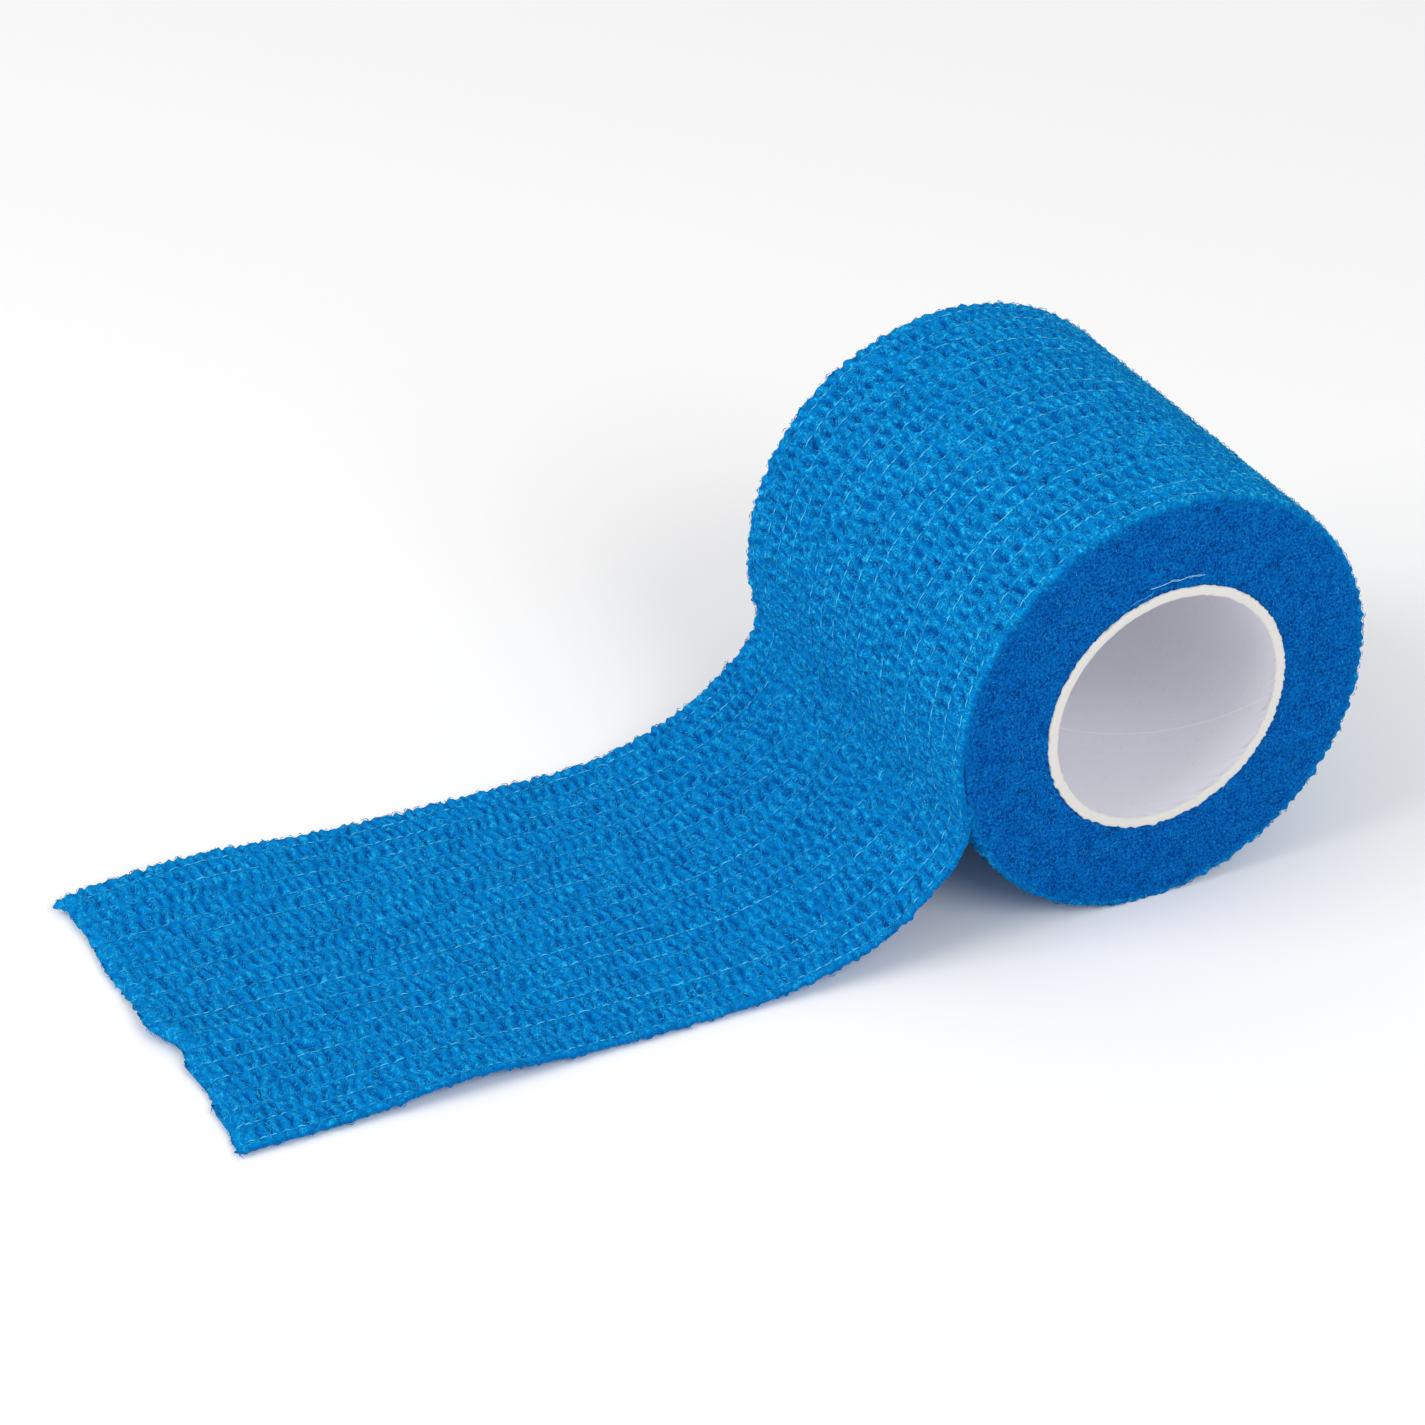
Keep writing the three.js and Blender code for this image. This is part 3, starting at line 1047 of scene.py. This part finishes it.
def thread_lines(name, start, end):
    """All the threads of one stretch of the strip, as polylines on the middle of the cloth"""
    steps = int((end - start) / THREAD_STEP)
    lines = (np.arange(THREADS) + 0.5) * ROW_PITCH - HALF_WIDTH
    across, along = (v.ravel() for v in np.meshgrid(lines, np.linspace(start, end, steps), indexing="ij"))
    number = np.arange(len(along)).reshape(len(lines), steps)
    edges = np.stack([number[:, :-1], number[:, 1:]], axis=-1).reshape(-1, 2).tolist()
    return mesh_object(name, tape_middle(along, across), [], edges, strip_numbers(along, across))


pale_thread = thread_finish()
wound_threads = thread_lines("outer_turn_threads", -WOUND_LENGTH + THREADS_HIDDEN, 0)
loose_threads = thread_lines("loose_end_threads", 0, LOOSE_LENGTH - THREADS_TUCKED)
print("thread lines of", len(wound_threads.data.edges), "and", len(loose_threads.data.edges), "steps")

# %% Elastic threads
THREAD_SIZES = {
    "Thread radius": 0.044,
    "Dash pitch": 1.35,
    "Dash start": 7.0,
    "Dash drift": 2.0,
    "Dash drift length": 4.0,
    "Dash lift": 0.2,
    "Dash sink": 0.05,
    "Shown length": 9.0,
    "Least shown": 0.45,
    "Most shown": 1.1,
    "Thread follow": 0.5,
}
THREAD_ON_ROLL = {"Dash pitch": 1.85, "Dash lift": 0.18}
SHOWN_LEVELS = (0.32, 0.58)
BESIDE_LINE = 0.02  # the cloth's depth is read just beside the line, clear of the step between two rows
THREAD_DRAW = 0.61  # gives the threads other random values than the rows
DRIFT_LINES = 2.3  # each thread reads its own line of the noise
SHOWN_LINES = 4.1


def swept_tube(tree, lines, radius):
    """Polylines turned into fine three-sided tubes with closed ends"""
    curve = add_node(tree, "GeometryNodeMeshToCurve", {"Mesh": lines})
    section = add_node(tree, "GeometryNodeCurvePrimitiveCircle", {"Resolution": 3, "Radius": radius * MM})
    sweep = {"Curve": result(curve), "Profile Curve": result(section), "Fill Caps": True}
    return result(add_node(tree, "GeometryNodeCurveToMesh", sweep))


def thread_tree():
    tree, size = start_tree("sweep_threads", {**LOOSE_SIZES, **THREAD_SIZES})
    along, across, to_cut = (stored(tree, label) for label in ("along", "across", "to_cut"))
    wander = thread_wander(tree, size, along)
    depth, _ = crinkles(tree, size, along, across - wander + BESIDE_LINE, to_cut)
    thread = (across / size["Row pitch"]).math("FLOOR")
    strays = sway(tree, along / size["Dash drift length"], thread * DRIFT_LINES, layer=60.0)
    drift = strays * size["Dash drift"]
    phase = along / size["Dash pitch"] + chance(tree, thread + THREAD_DRAW) * size["Dash start"] + drift
    dash = arch(phase).math("ABSOLUTE")
    level = noise_at(tree, along / size["Shown length"], thread * SHOWN_LINES, layer=80.0)
    shown = dash * level.fade(*SHOWN_LEVELS, size["Least shown"], size["Most shown"])
    sunk = to_cut.fade(0.0, size["Cut round"], size["Cut drop"], 0.0) + size["Dash sink"]
    lift = shown * size["Dash lift"] - sunk
    hollow = size["Thread pull"] + (depth - size["Thread pull"]) * size["Thread follow"]
    height = size["Ridge height"] - hollow + lift
    marked = store(tree, size["Geometry"], "shown", shown)
    laid = raise_points(tree, marked, height, vector(tree, y=wander * -MM))
    tubes = swept_tube(tree, laid, size["Thread radius"])
    end_tree(tree, above_table(tree, tubes), pale_thread)
    return tree


sweep_threads = thread_tree()
run_tree(wound_threads, sweep_threads, {**ROLL_SIZES, **THREAD_SIZES, **THREAD_ON_ROLL})
run_tree(loose_threads, sweep_threads, {**LOOSE_SIZES, **THREAD_SIZES})
for threads in (wound_threads, loose_threads):
    print(threads.name, count_triangles(threads), "triangles")

# %% [markdown]
# Where the first turn was started, a few ends of elastic thread have slipped out and lie on the end of the
# roll, just above the core, some bright and one faint. Each is a handful of points, given as a distance from
# the axis and an angle about it, with a smooth curve through them and the same fine tube swept along it.

# %% Stray thread ends
STRAY_COLOUR = (0.42, 0.8, 1.0, 1)
STRAY_ACROSS = -HALF_WIDTH - 0.4
STRAY_STEPS = 8
STRAY_SIZES = {"Thread radius": 0.042}
STRAYS = [
    {
        "shown": 1.0,
        "places": [
            (16.65, 103.2),
            (16.52, 100.0),
            (16.52, 96.8),
            (16.58, 93.8),
            (16.42, 91.2),
            (16.54, 88.2),
            (16.66, 85.2),
            (16.54, 82.6),
            (16.64, 79.6),
        ],
    },
    {"shown": 0.8, "places": [(16.74, 94.6), (16.66, 92.8), (16.46, 90.4)]},
    {"shown": 0.6, "places": [(16.42, 86.4), (16.6, 84.4), (16.74, 81.2)]},
    {"shown": 0.2, "places": [(15.94, 113.0), (16.0, 109.6), (15.9, 106.0), (16.05, 102.6)]},
]


def stray_lines():
    points, edges, shown = [], [], []
    for stray in STRAYS:
        curve = smooth_line(np.array(stray["places"]), STRAY_STEPS)
        first = sum(len(part) for part in points)
        points.append(turned(curve[:, 0], STRAY_ACROSS, np.radians(curve[:, 1])))
        edges += [(first + i, first + i + 1) for i in range(len(curve) - 1)]
        shown.append(np.full(len(curve), stray["shown"]))
    numbers = {"shown": np.concatenate(shown)}
    return mesh_object("stray_thread_ends", np.vstack(points), [], edges, numbers)


def stray_tree():
    tree, size = start_tree("sweep_strays", STRAY_SIZES)
    material, paint, shader = start_material("pale_thread_end", THREAD_ROUGHNESS)
    colour = blend_colours(paint, painted(paint, "shown"), FELT_SPECK, STRAY_COLOUR)
    connect(colour, shader.inputs["Base Color"])
    end_tree(tree, swept_tube(tree, size["Geometry"], size["Thread radius"]), material)
    return tree


stray_threads = run_tree(stray_lines(), stray_tree(), STRAY_SIZES)
print(stray_threads.name, count_triangles(stray_threads), "triangles")

# %% [markdown]
# The core is a tube of wound paper that stands a little proud of the cloth. A lathe would give a perfect
# ring, and a real one isn't: the saw leaves small burrs on both edges of the rim, and the last ply makes a
# faint slanting seam inside. So the tube is turned from its profile with columns that slant like the ply.
# They are closer together at the seam, where the ply drops by its own thickness, and noise roughens the rims.

# %% Paper finish
PAPER_RIM = (0.7, 0.69, 0.66, 1)
PAPER_BORE = (0.795, 0.795, 0.855, 1)
PAPER_SEAM = (0.98, 0.98, 1.0, 1)
PAPER_FLECK = (0.5, 0.46, 0.42, 1)
PAPER_ROUGHNESS = 0.85
PAPER_GLOSS = 0.2
PULP_RATE = 1500.0  # lumps of pulp to a metre
FLECK_LEVELS = (0.55, 0.75)
FLECK_STRENGTH = 0.12
SEAM_STRENGTH = 0.36


def paper_finish():
    material, tree, shader = start_material("white_core_paper", PAPER_ROUGHNESS)
    shader.inputs["Specular IOR Level"].default_value = PAPER_GLOSS
    pulp = noise_round(tree, object_place(tree), PULP_RATE, detail=4.0)
    paper = blend_colours(tree, painted(tree, "inside"), PAPER_RIM, PAPER_BORE)
    paper = blend_colours(tree, painted(tree, "seam") * SEAM_STRENGTH, paper, PAPER_SEAM)
    paper = blend_colours(tree, pulp.fade(*FLECK_LEVELS) * FLECK_STRENGTH, paper, PAPER_FLECK)
    connect(paper, shader.inputs["Base Color"])
    add_bump(tree, shader, pulp, strength=0.25, distance=0.05)
    return material


white_paper = paper_finish()
print("finish:", white_paper.name)

# %% Paper core
CORE_WALL = 1.2
CORE_BEVEL = 0.12
CORE_STEPS = 480
BORE_RINGS = 44
BORE_START = 1.2  # in from the ends of the tube
OUTSIDE_RINGS = 20
OUTSIDE_START = 4.0
PLY_TURN = math.radians(-4.35)  # slant of the ply, for each millimetre across
PLY_START = math.radians(-6.5)
PLY_STEP = 0.07
SEAM_WIDTH = 0.07
SEAM_CROWDING = 0.9  # how much closer together the columns are at the seam
BURR = 0.19
BURR_RING = 14.0  # radius of the ring that the noise of the burrs is read on
BURR_COARSE = 1.3  # burrs to a millimetre
BURR_FINE = 3.7
FINE_SHARE = 0.9
BURR_SIDEWAYS = 0.6


def core_profile():
    """Radius, place across, share of rim burr and whether it is inside, once round the tube's wall"""
    inner = CORE_OUTER - CORE_WALL
    rim = [
        (CORE_OUTER, CORE_END - 2.0, 0.0, 0.0),
        (CORE_OUTER, CORE_END - 0.6, 0.3, 0.0),
        (CORE_OUTER, CORE_END - CORE_BEVEL, 1.0, 0.0),
        (CORE_OUTER - CORE_BEVEL, CORE_END, 0.6, 0.0),
        (CORE_OUTER - CORE_WALL * 0.35, CORE_END, 0.4, 0.0),
        (CORE_OUTER - CORE_WALL * 0.65, CORE_END, 0.4, 0.0),
        (inner + CORE_BEVEL, CORE_END, 0.6, 0.0),
        (inner, CORE_END - CORE_BEVEL, 1.0, 0.2),
        (inner, CORE_END - 0.45, 0.3, 1.0),
    ]
    bore_across = np.linspace(CORE_END - BORE_START, BORE_START - CORE_END, BORE_RINGS)
    outside_across = np.linspace(OUTSIDE_START - CORE_END, CORE_END - OUTSIDE_START, OUTSIDE_RINGS)
    bore = [(inner, y, 0.0, 1.0) for y in bore_across]
    far_rim = [(radius, -across, burr, inside) for radius, across, burr, inside in rim[::-1]]
    outside = [(CORE_OUTER, y, 0.0, 0.0) for y in outside_across]
    return np.array(rim + bore + far_rim + outside)


def rim_burrs(angle, across, burr):
    """How far the burrs stand out, at each step round each ring of the profile"""
    rough = np.zeros(angle.shape)
    for ring in np.flatnonzero(burr):
        for step, bearing in enumerate(angle[ring]):
            spot = Vector((BURR_RING * math.cos(bearing), across[ring], BURR_RING * math.sin(bearing)))
            both = noise.noise(spot * BURR_COARSE) + FINE_SHARE * noise.noise(spot * BURR_FINE)
            rough[ring, step] = burr[ring] * BURR * both
    return rough


def core_tube():
    radius, across, burr, inside = core_profile().T
    even = np.linspace(0, 2 * np.pi, CORE_STEPS, endpoint=False)
    near_seam = even - SEAM_CROWDING * np.sin(even)
    angle = near_seam[None, :] + PLY_START + PLY_TURN * (across[:, None] + CORE_END)
    ply = np.linspace(0, 1, CORE_STEPS)[None, :] * inside[:, None] * PLY_STEP
    rough = rim_burrs(angle, across, burr)
    outside = np.where(inside > 0.5, -1.0, 1.0)[:, None]
    reach = radius[:, None] + ply + outside * rough
    y = across[:, None] + np.sign(across)[:, None] * rough * BURR_SIDEWAYS
    from_seam = np.minimum(near_seam, 2 * np.pi - near_seam) * (CORE_OUTER - CORE_WALL)
    seam = np.exp(-((from_seam / SEAM_WIDTH) ** 2))[None, :] * inside[:, None]
    numbers = {"inside": inside.repeat(CORE_STEPS), "seam": seam.ravel()}
    faces = turned_faces(len(radius), CORE_STEPS)
    return mesh_object("paper_core", turned(reach, y, angle), faces, numbers=numbers)


paper_core = core_tube()
paper_core.data.materials.append(white_paper)
paper_core.data.shade_smooth()
print(paper_core.name, count_triangles(paper_core), "triangles")

# %% [markdown]
# Short fibres stand off the cloth everywhere: they blur its edges and put small bright streaks on the ridges.
# Hair particles would do this, but they don't survive an export. A small tree scatters points on a finished
# piece, sets a bent three-sided fibre on each, turned and sized at random from a fixed seed, and keeps only
# the fibres.

# %% Fuzz
FUZZ_COLOUR = (0.03, 0.54, 0.9, 1)
FUZZ_DARK = (0.006, 0.2, 0.56, 1)
FUZZ_ROUGHNESS = 0.8
FUZZ_RATE = 900.0  # lighter and darker patches to a metre
FUZZ_LEVELS = (0.4, 0.7)
# Painted shade: the fibres along the cut sides take the cloth's deeper edge blue.
FUZZ_SHADE_WIDTH = 0.5  # width of the band along the cut sides where the fibres are as dark as the cloth's edge
FIBRE_BEND = 0.4
FUZZ_SIZES = {"Per square metre": 2.6e6, "Shortest": 0.5, "Longest": 1.4, "Fibre radius": 0.09, "Seed": 4}
TURN_SEED = 1
LENGTH_SEED = 2


def fuzz_finish():
    material, tree, shader = start_material("blue_fuzz", FUZZ_ROUGHNESS)
    patch = noise_round(tree, object_place(tree), FUZZ_RATE, detail=2.0)
    fibres = blend_colours(tree, patch.fade(*FUZZ_LEVELS), FUZZ_DARK, FUZZ_COLOUR)
    # Painted shade along the cut sides.
    edge_shade = at_side_edge(painted(tree, "across"), FUZZ_SHADE_WIDTH)
    connect(blend_colours(tree, edge_shade, fibres, CLOTH_EDGE), shader.inputs["Base Color"])
    return material


def random_number(tree, low, high, seed):
    return result(add_node(tree, "FunctionNodeRandomValue", {"Min": low, "Max": high, "Seed": seed}))


def bent_fibre(tree, radius):
    """A bead of a few faces drawn out into a fibre two units long, which bends up in the middle"""
    bead = add_node(tree, "GeometryNodeMeshUVSphere", {"Segments": 3, "Rings": 2, "Radius": 1.0})
    x, y, z = axes_of(tree, point_place(tree))
    belly = (z ** 2.0).rest() * FIBRE_BEND
    drawn = {"Geometry": result(bead, "Mesh"), "Position": vector(tree, z, x * radius, y * radius + belly)}
    return result(add_node(tree, "GeometryNodeSetPosition", drawn))


def fuzz_tree():
    tree, size = start_tree("scatter_fuzz", FUZZ_SIZES)
    scatter = {
        "Mesh": size["Geometry"],
        "Selection": stored(tree, "upper"),
        "Density": size["Per square metre"],
        "Seed": size["Seed"],
    }
    spots = add_node(tree, "GeometryNodeDistributePointsOnFaces", scatter)
    spin = {"Axis": (0, 0, 1), "Angle": random_number(tree, 0.0, 2 * math.pi, TURN_SEED)}
    turned_by = result(add_node(tree, "FunctionNodeAxisAngleToRotation", spin))
    facing = {"Rotation": result(spots, "Rotation"), "Rotate By": turned_by}
    rotation = result(add_node(tree, "FunctionNodeRotateRotation", facing, rotation_space="LOCAL"))
    length = random_number(tree, size["Shortest"], size["Longest"], LENGTH_SEED) * (MM / 2)
    placed = {
        "Points": result(spots, "Points"),
        "Instance": bent_fibre(tree, size["Fibre radius"]),
        "Rotation": rotation,
        "Scale": vector(tree, length, length, length),
    }
    fibres = add_node(tree, "GeometryNodeInstanceOnPoints", placed)
    real = add_node(tree, "GeometryNodeRealizeInstances", {"Geometry": result(fibres)})
    end_tree(tree, above_table(tree, result(real)), fuzz_finish())
    return tree


def fuzz_on(piece, name, sizes):
    fuzz = add_object(name, piece.data.copy())
    run_tree(fuzz, scatter_fuzz, {**FUZZ_SIZES, **sizes})
    print(name, count_triangles(fuzz), "triangles")
    return fuzz


scatter_fuzz = fuzz_tree()
wound_fuzz = fuzz_on(wound_cloth, "outer_turn_fuzz", {})
loose_fuzz = fuzz_on(loose_cloth, "loose_end_fuzz", {"Seed": 5})
felt_fuzz = fuzz_on(turn_edges, "wound_turns_fuzz", {"Per square metre": 6e5, "Longest": 0.9, "Seed": 6})

# %% [markdown]
# Now each piece is tied to the frame. There are no joints, so all of them ride on the one body. The cloth
# pieces together stand for the bandage solid and the paper tube for the core solid. The outer turn and the
# loose end are sheets of cloth: two stretches of the same strip.

# %% Tie the pieces to the frame
cloth_pieces = [wound_cloth, loose_cloth, turn_edges]
trim_pieces = [wound_threads, loose_threads, stray_threads, wound_fuzz, loose_fuzz, felt_fuzz]
for piece in [*cloth_pieces, *trim_pieces, paper_core]:
    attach(piece, "root")
for piece in cloth_pieces:
    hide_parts("bandage")
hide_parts("core")
print("pieces tied:", len(cloth_pieces) + len(trim_pieces) + 1)
